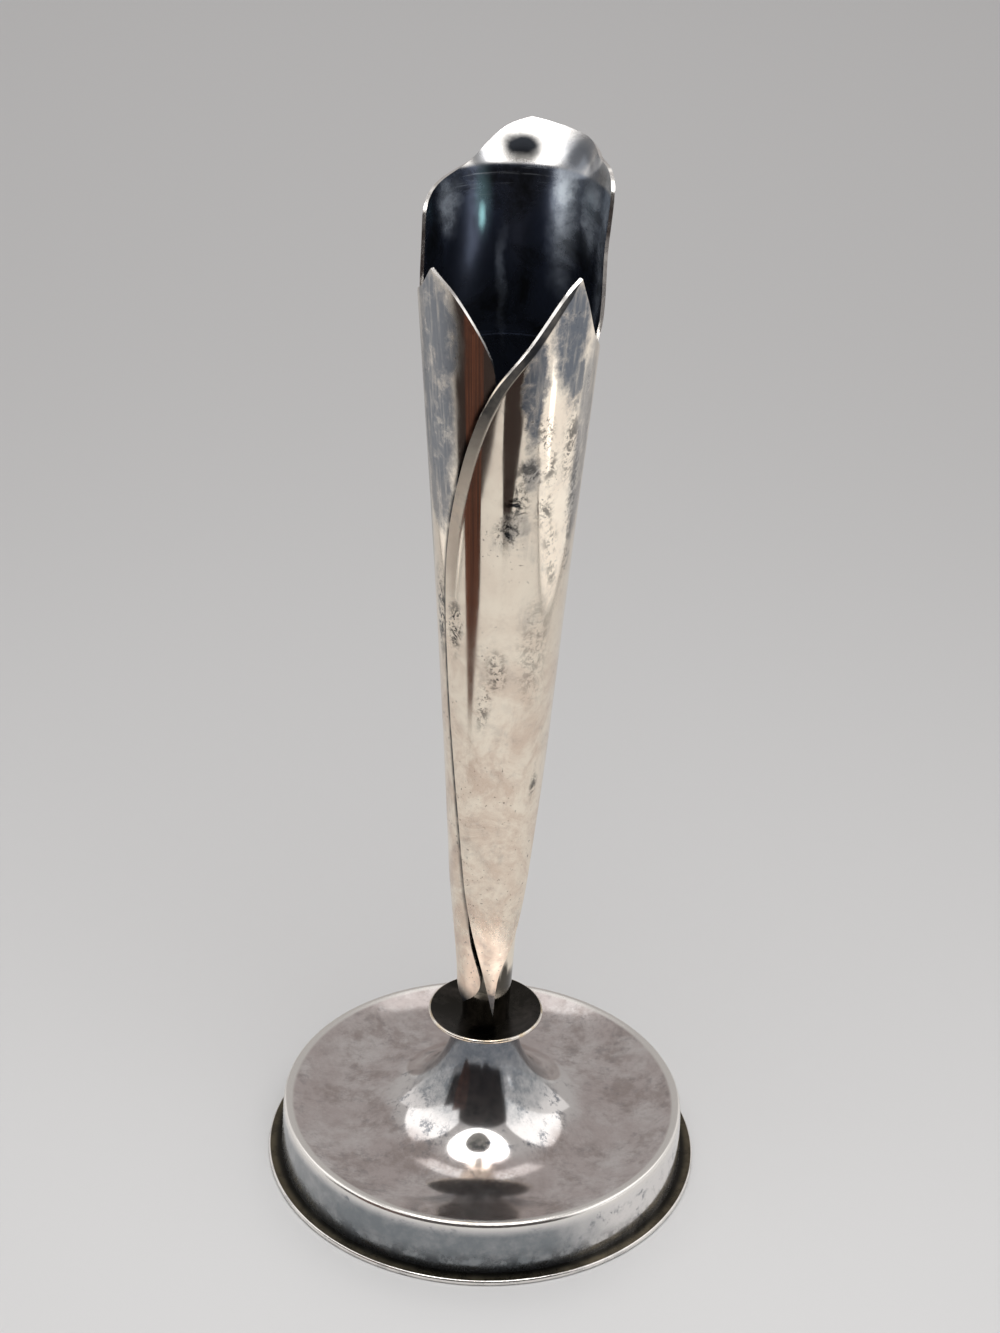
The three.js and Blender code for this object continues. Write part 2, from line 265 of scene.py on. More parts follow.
class SilverFinish(PropertyGroup):
    """Colours of the plate and its tarnish"""

    petal: tint("Petal silver", "Polished plate on the petals", (1.0, 0.9, 0.755))
    worn: tint("Worn silver", "Yellowed plate between the polished parts", (0.8, 0.65, 0.53))
    # Also the colour of painted shade on the petals, the folded tip and the trumpet
    tarnish: tint("Tarnish", "Blue-grey patches and spots", (0.155, 0.172, 0.2))
    # Also the colour of the painted shade on the lip, along the laps and low on the left petal
    speck: tint("Specks", "Dark spots, and grime along the laps", (0.03, 0.032, 0.036))
    mouth: tint("Mouth", "Inside of the petals and the tube", (0.11, 0.132, 0.19))
    # Paler patches painted in as reflected light, and the scratches under the fold
    sheen_and_scratch: tint("Clouded mouth", "Paler patches inside the mouth", (0.58, 0.64, 0.7))
    # Cyan spot painted in as reflected light inside the mouth
    painted_glint: tint("Glint", "Blue heat tint inside the mouth", (0.5, 0.95, 1))
    # Dark spot on the folded tip
    tip_spot: tint("Scorch", "Black spot on the folded tip", (0.008, 0.009, 0.011))
    foot: tint("Foot silver", "Polished plate on the trumpet", (0.86, 0.83, 0.81))
    haze: tint("Haze", "Dull film on the foot's top", (0.66, 0.59, 0.57))
    stain: tint("Stain", "Brown clouds and grain", (0.42, 0.355, 0.33))
    # On the skirt this colour is partly painted shade
    skirt: tint("Skirt", "Blue-grey film on the skirt and the neck", (0.24, 0.26, 0.275))
    # On the tube this colour is painted shade
    dark: tint("Dark silver", "Black tarnish on the collar, ring and tube", (0.028, 0.026, 0.022))
    bronze: tint("Bronze", "Wiped top of the foot ring", (0.15, 0.128, 0.088))
    # On the shoulder this colour is partly a painted highlight
    edge: tint("Cut edge", "Cut edges, the folded tip and the worn shoulder", (0.9, 0.87, 0.83))
    brass: tint("Brass", "Unplated brass of the fixing", (0.62, 0.44, 0.2))
    steel: tint("Steel", "Steel of the stud", (0.45, 0.45, 0.46))


class StageLook(PropertyGroup):
    """Floor and light"""

    floor: tint("Floor", "Colour of the floor", (0.64, 0.64, 0.64))
    black_flag: tint("Black flag", "Cloth that the front of the vase mirrors", (0.022, 0.011, 0.01))
    brown_flag: tint("Brown flag", "Card that its left side mirrors", (0.14, 0.042, 0.02))
    room: tint("Room", "Colour of the walls round the stage", (0.42, 0.405, 0.4))
    cap: tint("Lamp cap", "Grey cap under the lamp overhead", (0.2, 0.19, 0.165))
    top_light: plain("Top light", "Brightness of the lamp overhead", 2.9)
    side_light: plain("Side light", "Brightness of the low lamps at the sides", 0.34)
    high_light: plain("High light", "Brightness of the lamps above them", 0.85)
    strip_light: plain("Strip light", "Brightness of the strip on the right", 0.7)
    back_light: plain("Back light", "Brightness of the lamps over the back", 0.65)
    front_light: plain("Front light", "Brightness of the lamp over the front of the floor", 1.8)
    far_light: plain("Far light", "Brightness of the lamp over the far floor", 1.0)


class BudVase(PropertyGroup):
    """Everything a user would change on the vase and its stage"""

    foot: PointerProperty(type=FootSizes)
    stem: PointerProperty(type=StemSizes)
    finish: PointerProperty(type=SilverFinish)
    stage: PointerProperty(type=StageLook)


def smooth_step(x):
    x = min(max(x, 0), 1)
    return x * x * (3 - 2 * x)


def collar_floor(foot):
    return foot.neck_height + foot.collar_sheet


# Meshes

def turned(profile, steps):
    """A closed profile of radius and height, spun round the vase's axis."""
    bm = bmesh.new()
    ring = [bm.verts.new((radius, 0, height)) for radius, height in profile]
    sides = [bm.edges.new(pair) for pair in zip(ring, ring[1:] + ring[:1])]
    bmesh.ops.spin(bm, geom=ring + sides, cent=(0, 0, 0), axis=(0, 0, 1), dvec=(0, 0, 0),
                   angle=2 * math.pi, steps=steps, use_merge=True, use_duplicate=False)
    bmesh.ops.remove_doubles(bm, verts=bm.verts, dist=TOUCHING)
    bmesh.ops.recalc_face_normals(bm, faces=bm.faces)
    return bm


def arc(centre, radius, start, end, steps):
    """Points on an arc in radius and height, with angles in degrees from outwards to up."""
    points = []
    for i in range(steps + 1):
        at = math.radians(start + (end - start) * i / steps)
        points.append((centre[0] + radius * math.cos(at), centre[1] + radius * math.sin(at)))
    return points


def outward(middle):
    """Level direction away from the vase's axis."""
    return (middle * Vector((1, 1, 0))).normalized()


def second_finish(bm, chosen):
    """Give the piece's second finish to the faces that are chosen by their normal and middle."""
    for face in bm.faces:
        if chosen(face.normal, face.calc_center_median()):
            face.material_index = 1


def add_piece(name, bm, finishes, node, crease=35):
    """Make a piece that stands for a node, with its edges sharp from a crease in degrees."""
    mesh = bpy.data.meshes.new(name)
    bm.to_mesh(mesh)
    bm.free()
    for finish in finishes:
        mesh.materials.append(finish)
    mesh.shade_smooth()
    mesh.set_sharp_from_angle(angle=math.radians(crease))
    piece = bpy.data.objects.new(name, mesh)
    bpy.context.scene.collection.objects.link(piece)
    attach(piece, "root")
    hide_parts(node)
    return piece


def foot_side(foot, inset, round_steps=10, dish_steps=28, arc_steps=56):
    """One side of the foot's sheet, from the skirt's lower edge to the neck."""
    side = [(foot.skirt_radius - inset, foot.ring_thickness)]
    tightest = 0.1 * MM
    bend = max(foot.shoulder_round - inset, tightest)
    centre = (foot.skirt_radius - foot.skirt_draft - foot.shoulder_round,
              foot.shoulder_height - foot.shoulder_round)
    fall = foot.dish_depth + inset - foot.shoulder_round + bend
    slope = math.degrees(math.atan(fall * math.pi / 2 / (centre[0] - foot.trumpet_root)))
    side += arc(centre, bend, 0, 90 + slope, round_steps)
    start_r, start_z = side[-1]
    root_z = foot.shoulder_height - foot.dish_depth - inset
    for i in range(1, dish_steps):
        share = i / dish_steps
        side.append((start_r + (foot.trumpet_root - start_r) * share,
                     start_z + (root_z - start_z) * math.sin(share * math.pi / 2)))
    width = foot.trumpet_root - foot.neck_radius + inset
    rise = foot.neck_height - root_z
    for i in range(arc_steps):
        at = i / arc_steps * math.pi / 2
        side.append((foot.trumpet_root - width * math.sin(at),
                     foot.neck_height - rise * math.cos(at)))
    side.append((foot.neck_radius - inset, foot.neck_height))
    return side


def tube_radius(stem, height):
    """Outside radius of the tube at a height over the collar's floor, carried on above its mouth."""
    share = max(height, 0) / stem.tube_length
    return stem.tube_foot + (stem.tube_mouth - stem.tube_foot) * share ** stem.tube_flare


def spline(points, at):
    """A point on the smooth curve through the points, with at from 0 to 1."""
    along = at * (len(points) - 1)
    i = min(int(along), len(points) - 2)
    t = along - i
    p0, p1, p2, p3 = (Vector(points[min(max(i + k, 0), len(points) - 1)]) for k in (-1, 0, 1, 2))
    enter = (p2 - p0) / 2
    leave = (p3 - p1) / 2
    return ((2 * (p1 - p2) + enter + leave) * t ** 3 + (3 * (p2 - p1) - 2 * enter - leave) * t ** 2
            + enter * t + p1)


def over_none(stem, angle):
    """Sheets under a petal that lies on the tube."""
    return 0


def over_one(stem, angle):
    """Sheets under a petal that laps one other."""
    return 1


def over_front(stem, angle):
    """Sheets under the front petal: two on its left, stepping down to one on its right."""
    return 1 + smooth_step((stem.step_to - angle) / (stem.step_to - stem.step_from))


def flat_shape(stem, angle, height, from_low, span):
    """A petal that follows the stem all over stands out nowhere."""
    return 0


def folded_tip(stem, angle, height, from_low, span):
    """How far the back petal stands out, at its folded tip and its free sides."""
    aside = abs(angle - stem.fold_angle) - stem.fold_flat
    over = height - stem.fold_height
    past = (math.hypot(over, stem.fold_round) + over) / 2
    depth = BACK_PETAL[-1][0][1] * MM - stem.fold_height
    fold = stem.fold_slope * past + (stem.tip_slope - stem.fold_slope) * past * past / (2 * depth)
    fold *= 1 - smooth_step(aside / stem.fold_fade)
    up = smooth_step((height - stem.side_start) / stem.side_rise)
    down = smooth_step((height - stem.side_start - stem.side_rise) / stem.side_fall)
    return fold + stem.side_reach * math.sin(angle) ** 2 * (up - down)


def lip_reach(stem, span):
    """Width of the lip on a petal of this width."""
    return min(stem.lip_width, stem.lip_share * span)


def turned_lip(stem, angle, height, from_low, span):
    """How far the front petal stands out along its lip."""
    rise = smooth_step((height - stem.lip_start) / stem.lip_rise)
    return stem.lip_slope * rise * max(lip_reach(stem, span) - from_low, 0)


def petal_place(vase, angle, height, laps, stand_out):
    """A point on a petal's inside face."""
    stem = vase.stem
    rise = smooth_step((height - stem.lap_start) / stem.lap_rise)
    lapped = (stem.petal_sheet + stem.seam) * laps(stem, angle) * rise
    radius = tube_radius(stem, height) + stem.seam + lapped + stand_out
    return Vector((radius * math.sin(angle), -radius * math.cos(angle),
                   collar_floor(vase.foot) + height))


def lap_shade_edges(vase, petals, edge_points=400, steepest=55, spread=1.5):
    """Points along the edges of the petals on top, laid on the tube, and how far the painted shade
    reaches there.
    """
    points, reaches = [], []
    for outline in petals:
        for edge in (0, 1):
            line = [station[edge] for station in outline]
            for i in range(edge_points):
                at = spline(line, i / (edge_points - 1))
                points.append(petal_place(vase, math.radians(at.x), at.y * MM, over_none, 0))
                aside = min(-at.x, steepest) if -90 < at.x < 0 else 0
                reaches.append(vase.stem.lap_shade_reach * (1 + spread * math.tan(math.radians(aside))))
    tree = KDTree(len(points))
    for i, point in enumerate(points):
        tree.insert(point, i)
    tree.balance()
    return tree, reaches


def paint_lap_shade(bm, vase, petals):
    """Painted shade along the laps, kept as a value on each vertex."""
    if not petals:
        return
    layer = bm.verts.layers.float.new("seam")
    edges, reaches = lap_shade_edges(vase, petals)
    for vert in bm.verts:
        angle = math.atan2(vert.co.x, -vert.co.y)
        flat = petal_place(vase, angle, vert.co.z - collar_floor(vase.foot), over_none, 0)
        _, nearest, distance = edges.find(flat)
        vert[layer] = smooth_step((reaches[nearest] - distance) / vase.stem.lap_shade_reach)


def spread_lip(across, edge, lip):
    """Give the columns up to the edge the lip's own share of the width."""
    if across < edge:
        return across / edge * lip
    return lip + (across - edge) / (1 - edge) * (1 - lip)


def petal_sheet(vase, outline, laps, shape, columns=72, rows=220, lip_columns=0):
    """A petal's inside face: a grid laid between its two edges."""
    stem = vase.stem
    lows, highs = ([station[k] for station in outline] for k in (0, 1))
    bm = bmesh.new()
    bmesh.ops.create_grid(bm, x_segments=columns, y_segments=rows, size=0.5)
    fold = bm.verts.layers.float.new("fold")
    dark = bm.verts.layers.float.new("lip_painted_shade")
    brushed = bm.verts.layers.float.new("lip_brushed")
    fade_from, fade_to = 0.9, 1.2
    for vert in bm.verts:
        across, up = vert.co.x + 0.5, vert.co.y + 0.5
        low, high = spline(lows, up), spline(highs, up)
        span = math.hypot(tube_radius(stem, low.y * MM) * math.radians(high.x - low.x),
                          (high.y - low.y) * MM)
        lip = lip_reach(stem, span) / span if lip_columns and span > 0 else 0
        if lip:
            across = spread_lip(across, lip_columns / columns, lip)
        at = low.lerp(high, across)
        angle, height = math.radians(at.x), at.y * MM
        if lip:
            on_lip = smooth_step((fade_to - across / lip) / (fade_to - fade_from))
            # Painted shade towards the top of the lip
            vert[dark] = on_lip * smooth_step((height - stem.lip_painted_shade) / stem.lip_shade_reach)
            vert[brushed] = on_lip * smooth_step((height - stem.lip_start) / stem.lip_rise)
        stand_out = shape(stem, angle, height, across * span, span)
        vert.co = petal_place(vase, angle, height, laps, stand_out)
        vert[fold] = smooth_step((height - stem.fold_height) / stem.fold_round)
    bmesh.ops.remove_doubles(bm, verts=bm.verts, dist=TOUCHING)
    return bm


# Finishes

class Finish:
    """Builds one material's nodes."""

    def __init__(self, name):
        self.material = bpy.data.materials.new(name)
        self.material.use_nodes = True
        self.tree = self.material.node_tree
        self.shader = self.tree.nodes["Principled BSDF"]
        self.place = self.add("TexCoord").outputs["Object"]
        self.set(Metallic=1.0)

    def add(self, kind, inputs=None, **settings):
        node = self.tree.nodes.new("ShaderNode" + kind)
        for key, value in settings.items():
            setattr(node, key, value)
        for key, value in (inputs or {}).items():
            self.feed(node.inputs[key], value)
        return node

    def feed(self, socket, value):
        if isinstance(value, NodeSocket):
            self.tree.links.new(value, socket)
        elif socket.type == "RGBA":
            socket.default_value = (*value, 1)
        else:
            socket.default_value = value

    def set(self, **inputs):
        for key, value in inputs.items():
            self.feed(self.shader.inputs[key.replace("_", " ")], value)

    def noise(self, scale, detail=4, roughness=0.55, distortion=0.0, place=None):
        return self.add("TexNoise", {"Vector": place or self.place, "Scale": scale, "Detail": detail,
                                     "Roughness": roughness, "Distortion": distortion}).outputs["Fac"]

    def stretched(self, scale):
        return self.add("Mapping", {"Vector": self.place, "Scale": scale}).outputs["Vector"]

    def ramp(self, value, low, high, to_low=0.0, to_high=1.0):
        """A smooth change from one value to another while the first input goes from low to high."""
        return self.add("MapRange", {"Value": value, "From Min": low, "From Max": high,
                                     "To Min": to_low, "To Max": to_high},
                        interpolation_type="SMOOTHSTEP").outputs["Result"]

    def joined(self, operation, values):
        """One number from several, taken two at a time."""
        result = values[0]
        for value in values[1:]:
            result = self.add("Math", {0: result, 1: value}, operation=operation).outputs["Value"]
        return result

    def times(self, *values):
        return self.joined("MULTIPLY", values)

    def plus(self, *values):
        return self.joined("ADD", values)

    def minus(self, *values):
        return self.joined("SUBTRACT", values)

    def most(self, *values):
        return self.joined("MAXIMUM", values)

    def vector(self, operation, *values):
        node = self.add("VectorMath", dict(enumerate(values)), operation=operation)
        return node.outputs["Value" if operation == "LENGTH" else "Vector"]

    def mix(self, share, first, second):
        node = self.add("Mix", {"Factor": share}, data_type="RGBA")
        self.feed(node.inputs["A"], first)
        self.feed(node.inputs["B"], second)
        return node.outputs["Result"]

    def axis(self, name):
        return self.add("SeparateXYZ", {"Vector": self.place}).outputs[name]

    def radius(self):
        """Distance from the vase's axis."""
        return self.vector("LENGTH", self.vector("MULTIPLY", self.place, (1, 1, 0)))

    def marks(self, marks, base, wander=(14, 8), soft=(1.3, 0.7), facing=FROM_FRONT):
        """Ragged patches at the angles and heights listed, as one mask."""
        turned_by = self.joined("ARCTAN2", (self.times(self.axis("X"), facing),
                                            self.times(self.axis("Y"), -facing)))
        angle = self.times(turned_by, math.degrees(1))
        height = self.times(self.minus(self.axis("Z"), base), 1 / MM)
        sheet = self.add("CombineXYZ", {"X": angle, "Y": height}).outputs["Vector"]
        ragged = self.add("TexNoise", {"Vector": self.place, "Scale": 190, "Detail": 8,
                                       "Roughness": 0.7})
        shift = self.vector("SUBTRACT", ragged.outputs["Color"], (0.5, 0.5, 0.5))
        sheet = self.vector("ADD", sheet, self.vector("MULTIPLY", shift, (*wander, 0)))
        patches = []
        for at_angle, at_height, wide, high, strong in marks:
            off = self.vector("SUBTRACT", sheet, (at_angle, at_height, 0))
            far = self.vector("LENGTH", self.vector("MULTIPLY", off, (1 / wide, 1 / high, 0)))
            patches.append(self.ramp(far, *soft, 0, strong))
        return self.most(*patches)

    def attribute(self, name):
        return self.add("Attribute", attribute_name=name).outputs["Fac"]

    def bump(self, height, distance):
        node = self.add("Bump", {"Height": height, "Distance": distance, "Strength": 1.0})
        self.set(Normal=node.outputs["Normal"])


def petal_plate(vase):
    """Polished plate, mottled low down, with blue-grey tarnish towards the top, specks, and painted
    shade on the lip, along the laps and low on the left petal.
    """
    colours = vase.finish
    look = Finish("petal_plate")
    base = collar_floor(vase.foot)
    height = look.axis("Z")

    # Yellowed clouds and brown grain, mostly low down
    low = look.ramp(height, base + 100 * MM, base + 55 * MM, 0.3, 1.0)
    warm = look.times(look.ramp(look.noise(120, 7, 0.72, 0.5), 0.36, 0.62), low)
    colour = look.mix(warm, colours.petal, colours.worn)
    grain = look.times(look.ramp(look.noise(520, 6, 0.75), 0.5, 0.75, 0, 0.35), low)
    colour = look.mix(grain, colour, colours.stain)

    # Thin film in upright streaks, and patches of tarnish, two of them painted shade
    streak = look.noise(900, 4, 0.6, place=look.stretched((1, 1, 0.1)))
    film = look.times(look.ramp(look.noise(95, 6, 0.7, 0.6), 0.48, 0.72), look.ramp(streak, 0.3, 0.6))
    colour = look.mix(look.times(film, 0.3), colour, colours.tarnish)
    thin = look.times(look.ramp(look.noise(300, 8, 0.75, 0.3), 0.3, 0.52, 0.62, 1.0),
                      look.ramp(streak, 0.25, 0.55, 0.7, 1.0))
    patch = look.times(look.marks(TARNISH_AND_SHADE, base, (20, 12)), thin)
    colour = look.mix(patch, colour, colours.tarnish)

    # Specks in clusters, and single pits
    blot = look.most(look.ramp(look.noise(420, 7, 0.75, 0.5), 0.47, 0.58),
                     look.ramp(look.noise(1300, 4, 0.65), 0.53, 0.61))
    speck = look.times(look.marks(SPECKS, base, (16, 9), (1.5, 0.3)), blot)
    pits = look.times(look.ramp(look.noise(1500, 2, 0.5), 0.66, 0.72),
                      look.ramp(look.noise(80, 4, 0.6), 0.45, 0.62, 0, 0.7))
    colour = look.mix(look.most(speck, pits), colour, colours.speck)

    # Painted shade: darker towards the top of the lip, along the laps, and on the left petal's lower end
    # over the collar
    lip = look.times(look.attribute("lip_painted_shade"),
                     look.ramp(look.noise(160, 6, 0.7), 0.3, 0.6, 1.0, 0.88))
    colour = look.mix(lip, colour, colours.speck)
    # Painted shade along the laps, weaker low down
    seam = look.times(look.attribute("seam"),
                      look.ramp(look.noise(400, 4), 0.25, 0.55, 0.6, 1.0),
                      look.ramp(height, base + 20 * MM, base + 60 * MM, 0.7, 1.0))
    seam = look.most(seam, look.marks(PAINTED_LOW_SHADE, base, (8, 2), (1.8, 0.6)))
    colour = look.mix(seam, colour, colours.speck)

    rough = look.plus(look.times(patch, 0.26), look.times(film, 0.08), look.times(warm, 0.1),
                      look.times(look.attribute("lip_brushed"), 0.4),
                      look.ramp(height, base + 35 * MM, base + 12 * MM, 0, 0.16),
                      look.ramp(height, base + 112 * MM, base + 75 * MM, 0, 0.06),
                      0.055)
    look.set(Base_Color=colour, Roughness=rough)
    look.bump(look.noise(60, 2), RIPPLE)
    return look.material


def mouth_plate(vase):
    """Inside of the mouth: blue-black, scratched under the fold, clean where the tip folds back."""
    colours = vase.finish
    look = Finish("mouth_plate")
    base = collar_floor(vase.foot)
    fold = base + vase.stem.fold_height

    # Tarnish, with paler patches and a cyan spot painted in as light mirrored inside the mouth
    cloud = look.noise(110, 6, 0.65, 0.4)
    colour = look.mix(look.ramp(cloud, 0.4, 0.7), colours.mouth, colours.speck)
    painted_sheen = look.times(look.marks(PAINTED_SHEEN, base, (20, 10), (1.5, 0.3), FROM_BACK),
                      look.ramp(cloud, 0.35, 0.6, 1, 0.4))
    colour = look.mix(painted_sheen, colour, colours.sheen_and_scratch)
    painted_glint = look.marks(PAINTED_GLINTS, base, (3, 2), (1.4, 0.1), FROM_BACK)
    colour = look.mix(painted_glint, colour, colours.painted_glint)

    # Level scratches under the fold
    scratch = look.noise(700, 5, 0.7, place=look.stretched((0.12, 0.12, 2.2)))
    scratch = look.times(look.ramp(scratch, 0.58, 0.7),
                         look.ramp(look.axis("Z"), fold - 7 * MM, fold - 1 * MM, 0, 0.5))
    colour = look.mix(scratch, colour, colours.sheen_and_scratch)

    # Clean folded tip, with painted shade over its sides and a black spot
    colour = look.mix(look.attribute("fold"), colour, colours.edge)
    clouds = look.marks(FOLD_SHADE, base, (10, 2), (1.5, 0.3), FROM_BACK)
    colour = look.mix(clouds, colour, colours.tarnish)
    spots = look.marks(FOLD_SPOTS, base, (9, 1.3), (1.3, 0.35), FROM_BACK)
    colour = look.mix(spots, colour, colours.tip_spot)

    # Less metallic under the painted patches and spot, so that their colours show
    metal = look.minus(0.95, look.times(look.most(painted_sheen, painted_glint), 0.55))
    look.set(Base_Color=colour, Metallic=metal, Roughness=look.ramp(cloud, 0.3, 0.8, 0.2, 0.36))
    look.bump(look.noise(60, 2), RIPPLE)
    return look.material


def foot_plate(vase):
    """Bright spotted trumpet with painted shade towards the neck, cloudy dished top, a lighter shoulder
    that is partly wear and partly painted highlight, and a blue-grey skirt, partly painted shade, with
    dark smudges low down.
    """
    colours = vase.finish
    foot = vase.foot
    look = Finish("foot_plate")
    radius = look.radius()
    height = look.axis("Z")
    bend = foot.skirt_radius - foot.skirt_draft - foot.shoulder_round
    top = foot.shoulder_height
    skirt = look.ramp(radius, bend + 0.1 * MM, bend + 0.6 * MM)
    fine = look.noise(420, 7, 0.75)

    # Haze, brown clouds and grain on the dished top
    ragged = look.plus(radius, look.times(look.noise(120, 5), 6 * MM))
    dish = look.times(look.ramp(ragged, foot.trumpet_root - 7 * MM, foot.trumpet_root - 3 * MM),
                      look.minus(1.0, skirt))
    haze = look.times(dish, look.ramp(look.noise(85, 8, 0.68, 0.1), 0.35, 0.6, 0.3, 1.0))
    colour = look.mix(haze, colours.foot, colours.haze)
    brown = look.times(look.ramp(look.noise(130, 8, 0.72), 0.46, 0.64), dish, 0.7)
    colour = look.mix(brown, colour, colours.stain)
    grain = look.times(look.ramp(fine, 0.4, 0.7, 0, 0.3), dish)
    colour = look.mix(grain, colour, colours.stain)

    # Spots, mostly on the trumpet, the dull neck, and painted shade darkening the trumpet towards the
    # neck
    spot = look.times(look.ramp(fine, 0.5, 0.62),
                      look.ramp(look.noise(140, 5, 0.65), 0.42, 0.6, 0.1, 1.0),
                      look.ramp(dish, 0, 1, 0.85, 0.25))
    colour = look.mix(spot, colour, colours.tarnish)
    ragged = look.plus(radius, look.times(look.noise(260, 6, 0.7), 5 * MM))
    neck = look.ramp(ragged, foot.neck_radius + 11 * MM, foot.neck_radius + 6.7 * MM, 0, 0.85)
    neck = look.times(neck, look.ramp(fine, 0.3, 0.65, 0.6, 1.0))
    colour = look.mix(neck, colour, colours.skirt)
    shade = look.ramp(height, foot.neck_height - 14.2 * MM, foot.neck_height - 4.2 * MM, 0, 0.9)
    shade = look.times(shade, look.ramp(fine, 0.3, 0.65, 0.75, 1.0))
    colour = look.mix(shade, colour, colours.tarnish)

    # Lighter band on the shoulder, partly wear and partly painted highlight; blue-grey on the skirt,
    # partly film and partly painted shade; and smudges low on the skirt
    worn = look.times(look.ramp(radius, bend - 1.2 * MM, bend - 0.5 * MM),
                      look.ramp(height, top - 1.7 * MM, top - 0.9 * MM))
    colour = look.mix(worn, colour, colours.edge)
    # Painted shade: the blue-grey is left off the skirt's right side and thinned on its left, where the
    # skirt shows lighter
    aside = look.plus(look.axis("X"), look.times(look.noise(60, 5), 20 * MM))
    blue = look.times(skirt, look.ramp(height, top - 0.3 * MM, top - 3 * MM),
                      look.ramp(aside, 37 * MM, 21 * MM),
                      look.ramp(aside, -26 * MM, -10 * MM, 0.85, 1.0),
                      look.ramp(look.noise(200, 6, 0.7), 0.3, 0.6, 0.8, 1.0))
    colour = look.mix(blue, colour, colours.skirt)
    low = look.ramp(height, foot.ring_thickness + 5.6 * MM, foot.ring_thickness + 0.6 * MM)
    smudge = look.times(look.ramp(look.noise(300, 7, 0.72), 0.4, 0.6), skirt, low)
    colour = look.mix(look.times(smudge, 0.68), colour, colours.speck)

    rough = look.plus(look.times(haze, 0.05), look.times(smudge, 0.2),
                      look.times(look.most(blue, worn), 0.12), look.times(neck, 0.08), 0.085)
    look.set(Base_Color=colour, Metallic=0.95, Roughness=rough)
    look.bump(look.noise(45, 2), RIPPLE)
    return look.material


def tube_plate(vase):
    """Polished plate of the tube, with painted shade that turns it black low in the collar, along the
    front petal's edge and beside the petals' lower tips.
    """
    colours = vase.finish
    look = Finish("tube_plate")
    base = collar_floor(vase.foot)
    film = look.ramp(look.noise(150, 6, 0.7), 0.45, 0.75)
    colour = look.mix(look.times(film, 0.3), colours.petal, colours.tarnish)
    # Painted shade: black low down where the tube mirrors the dark collar, along the front petal's edge
    # and beside the petals' tips
    height = look.plus(look.axis("Z"), look.times(look.noise(350, 4), 3 * MM))
    painted_shade = look.most(look.ramp(height, base + 14.5 * MM, base + 11.5 * MM),
                      look.attribute("seam"), look.marks(PAINTED_TUBE_SHADE, base, (6, 4)))
    colour = look.mix(look.times(painted_shade, 0.93), colour, colours.dark)
    look.set(Base_Color=colour, Roughness=look.ramp(film, 0, 1, 0.06, 0.14))
    return look.material


def ring_plate(vase):
    """Foot ring: black with grime at the skirt, and bronze where it is wiped."""
    look = Finish("ring_plate")
    wear = look.noise(300, 5, 0.65)
    seam = vase.foot.skirt_radius
    wiped = look.times(look.ramp(look.radius(), seam + 0.4 * MM, seam + 1.6 * MM),
                       look.ramp(wear, 0.35, 0.65, 0.55, 1.0))
    colour = look.mix(wiped, vase.finish.dark, vase.finish.bronze)
    look.set(Base_Color=colour, Roughness=look.ramp(wear, 0.3, 0.7, 0.24, 0.36))
    return look.material


def worn_finish(name, pattern, share, clean, worn, rough):
    """One metal that wears or dulls into another in a cloudy pattern."""
    look = Finish(name)
    cloud = look.noise(*pattern)
    look.set(Base_Color=look.mix(look.ramp(cloud, *share), clean, worn),
             Roughness=look.ramp(cloud, 0.3, 0.7, *rough))
    return look.material


def cut_edge(colours):
    """Bright cut edge of a sheet."""
    return worn_finish("cut_edge", (400, 4), (0.45, 0.75, 0, 0.4), colours.edge, colours.tarnish,
                       (0.16, 0.3))


def inside_plate(colours):
    """Unpolished inside of the foot."""
    return worn_finish("inside_plate", (90, 6, 0.6, 0.3), (0.35, 0.7), colours.haze, colours.tarnish,
                       (0.28, 0.45))


def dark_plate(colours):
    """Plate of the collar, gone dark with tarnish."""
    return worn_finish("dark_plate", (180, 5, 0.6, 0.3), (0.45, 0.8, 0, 0.15), colours.dark,
                       colours.stain, (0.2, 0.34))


def rim_plate(colours):
    """Worn rim of the collar, where the brass shows through the plate."""
    return worn_finish("rim_plate", (420, 4), (0.4, 0.65, 0.15, 0.6), colours.edge, colours.brass,
                       (0.14, 0.28))


def bare_metal(name, colour, roughness):
    """Brass or steel of the fixing."""
    dull = tuple(0.45 * part for part in colour)
    return worn_finish(name, (300, 5, 0.6), (0.4, 0.75), colour, dull, (roughness, roughness + 0.15))


# Operators

class VASE_OT_foot(Operator):
    """Make the spun foot and the ring under it"""

    bl_idname = "vase.foot"
    bl_label = "Foot and ring"

    def execute(self, context):
        vase = context.scene.bud_vase
        foot = vase.foot
        shell = turned(foot_side(foot, 0) + foot_side(foot, foot.sheet)[::-1], steps=224)
        second_finish(shell, lambda normal, middle: normal.dot(outward(middle)) + normal.z < -0.05)
        finishes = (foot_plate(vase), inside_plate(vase.finish))
        add_piece("foot_shell_plated", shell, finishes, "foot_shell")

        inner = foot.skirt_radius - foot.sheet - foot.ring_ledge
        outer = foot.skirt_radius + foot.ring_overhang
        bend = foot.ring_round
        edge = (arc((outer - bend, bend), bend, -90, 0, 6)
                + arc((outer - bend, foot.ring_thickness - bend), bend, 0, 90, 6))
        ring = turned([(inner, 0), *edge, (inner, foot.ring_thickness)], steps=224)
        second_finish(ring, lambda normal, middle: middle.to_2d().length > outer - 0.8 * bend)
        finishes = (ring_plate(vase), cut_edge(vase.finish))
        add_piece("foot_ring_plated", ring, finishes, "foot_ring")
        return {"FINISHED"}


